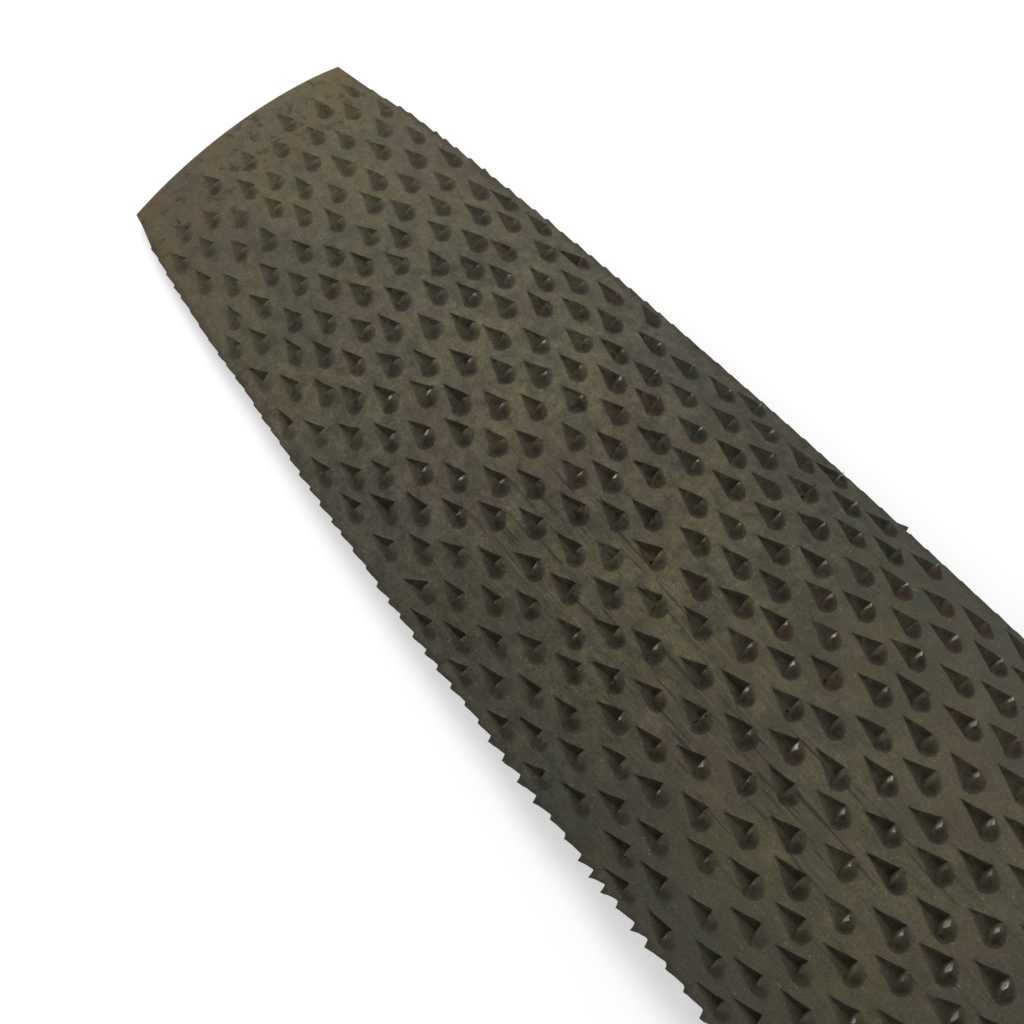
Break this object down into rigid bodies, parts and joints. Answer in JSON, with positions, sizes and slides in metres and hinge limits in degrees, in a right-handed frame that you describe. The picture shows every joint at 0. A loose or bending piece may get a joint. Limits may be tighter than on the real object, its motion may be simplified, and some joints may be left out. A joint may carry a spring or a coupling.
{
  "type": "half-round rasp",
  "caption": "Half-round wood rasp with slanting rows of stitched teeth on both faces, toothed edges, a bare heel, and a turned handle with a ferrule.",
  "frame": {"origin": "middle of the bare heel on the flat face", "axes": "+X along the blade from the heel to the tip, +Z out of the round face, -Z out of the flat face"},
  "size_m": [0.3832, 0.0316, 0.0316],
  "materials": {
    "worn_tool_steel": "satin, dark with use, olive and brown patina",
    "drawn_steel": "dull, drawn",
    "turned_wood": "oiled, worn with handling"
  },
  "bodies": {
    "root": {"rasp_blade": "worn_tool_steel", "ferrule": "drawn_steel", "handle": "turned_wood"}
  },
  "joints": []
}
